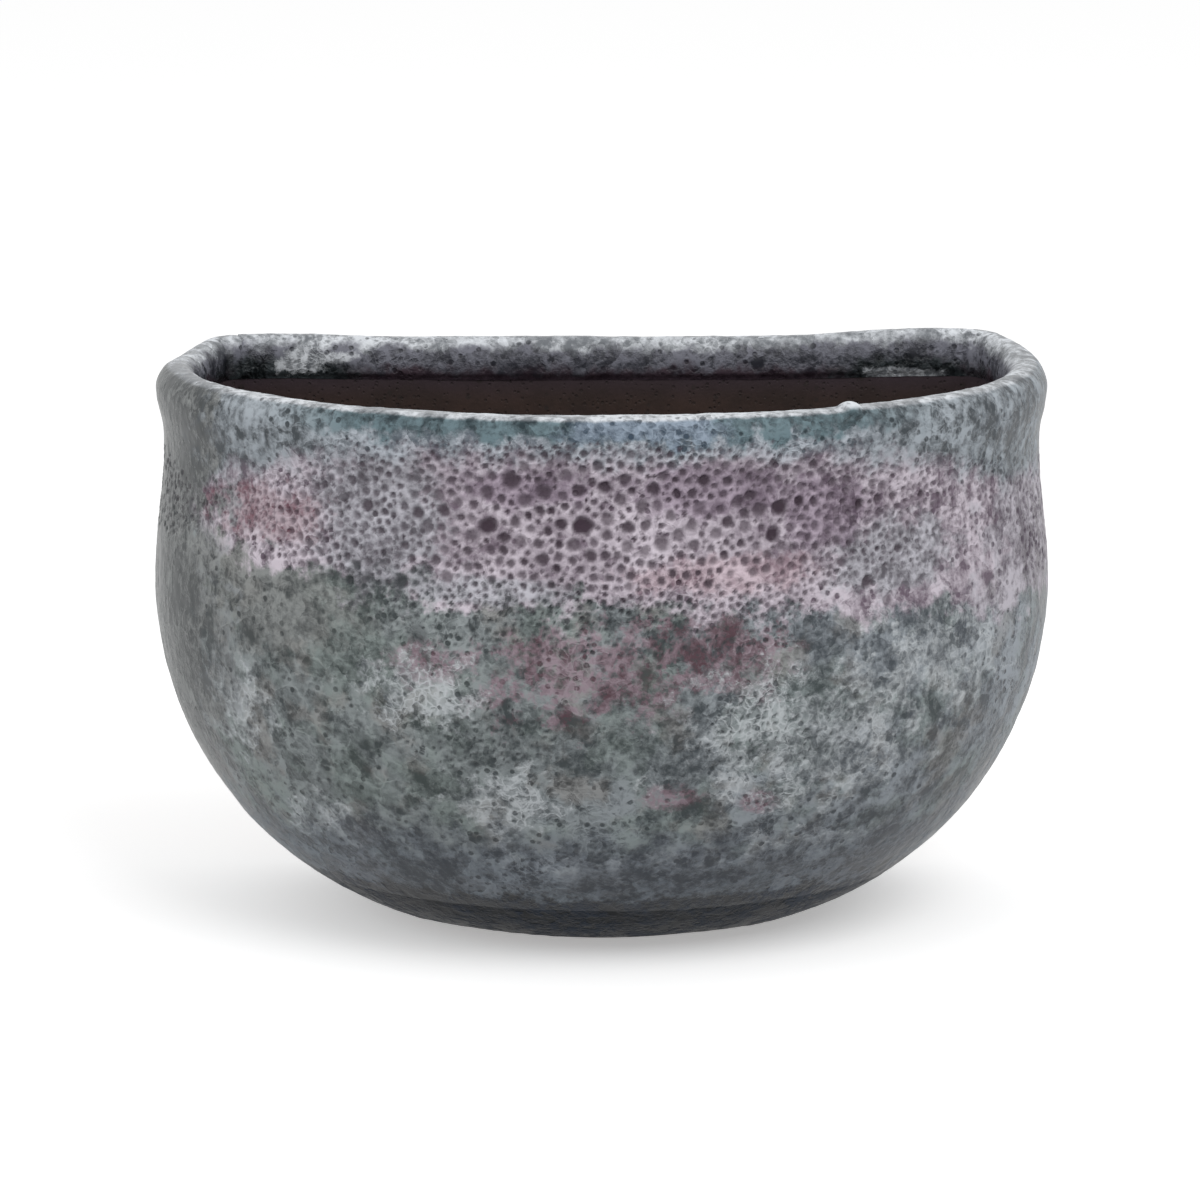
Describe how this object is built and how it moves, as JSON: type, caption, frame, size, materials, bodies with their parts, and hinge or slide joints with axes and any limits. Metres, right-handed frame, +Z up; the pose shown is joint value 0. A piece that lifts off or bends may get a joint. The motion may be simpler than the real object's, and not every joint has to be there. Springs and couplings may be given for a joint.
{
  "type": "wall planter",
  "caption": "Half-round stoneware wall planter with a rolled rim, a flat back to hang by, a drain hole and a cratered reactive glaze.",
  "frame": {"origin": "midway between the two hanging holes, on the back face that lies against the wall", "axes": "+Z up, +X to the viewer's right across the width, +Y out of the back towards the wall, so the bowl's front faces -Y"},
  "size_m": [0.3, 0.166, 0.1883],
  "materials": {
    "bare_clay": "matte, gritty fired red-brown stoneware",
    "slate_glaze": "satin, dark slate",
    "mottled_glaze": "satin, grey-green with a pale net and rose patches",
    "crater_glaze": "pale lavender crust broken by dark round pits",
    "lip_glaze": "smooth satin blue-grey"
  },
  "bodies": {
    "root": {"base_slab": "bare_clay", "bowl_wall": "bare_clay", "back_slab": "bare_clay", "corner_coils": "bare_clay", "rim_coil": "bare_clay", "slate_glaze": "slate_glaze", "bowl_glaze": "mottled_glaze", "belt_glaze": "crater_glaze", "lip_glaze": "lip_glaze"}
  },
  "joints": []
}
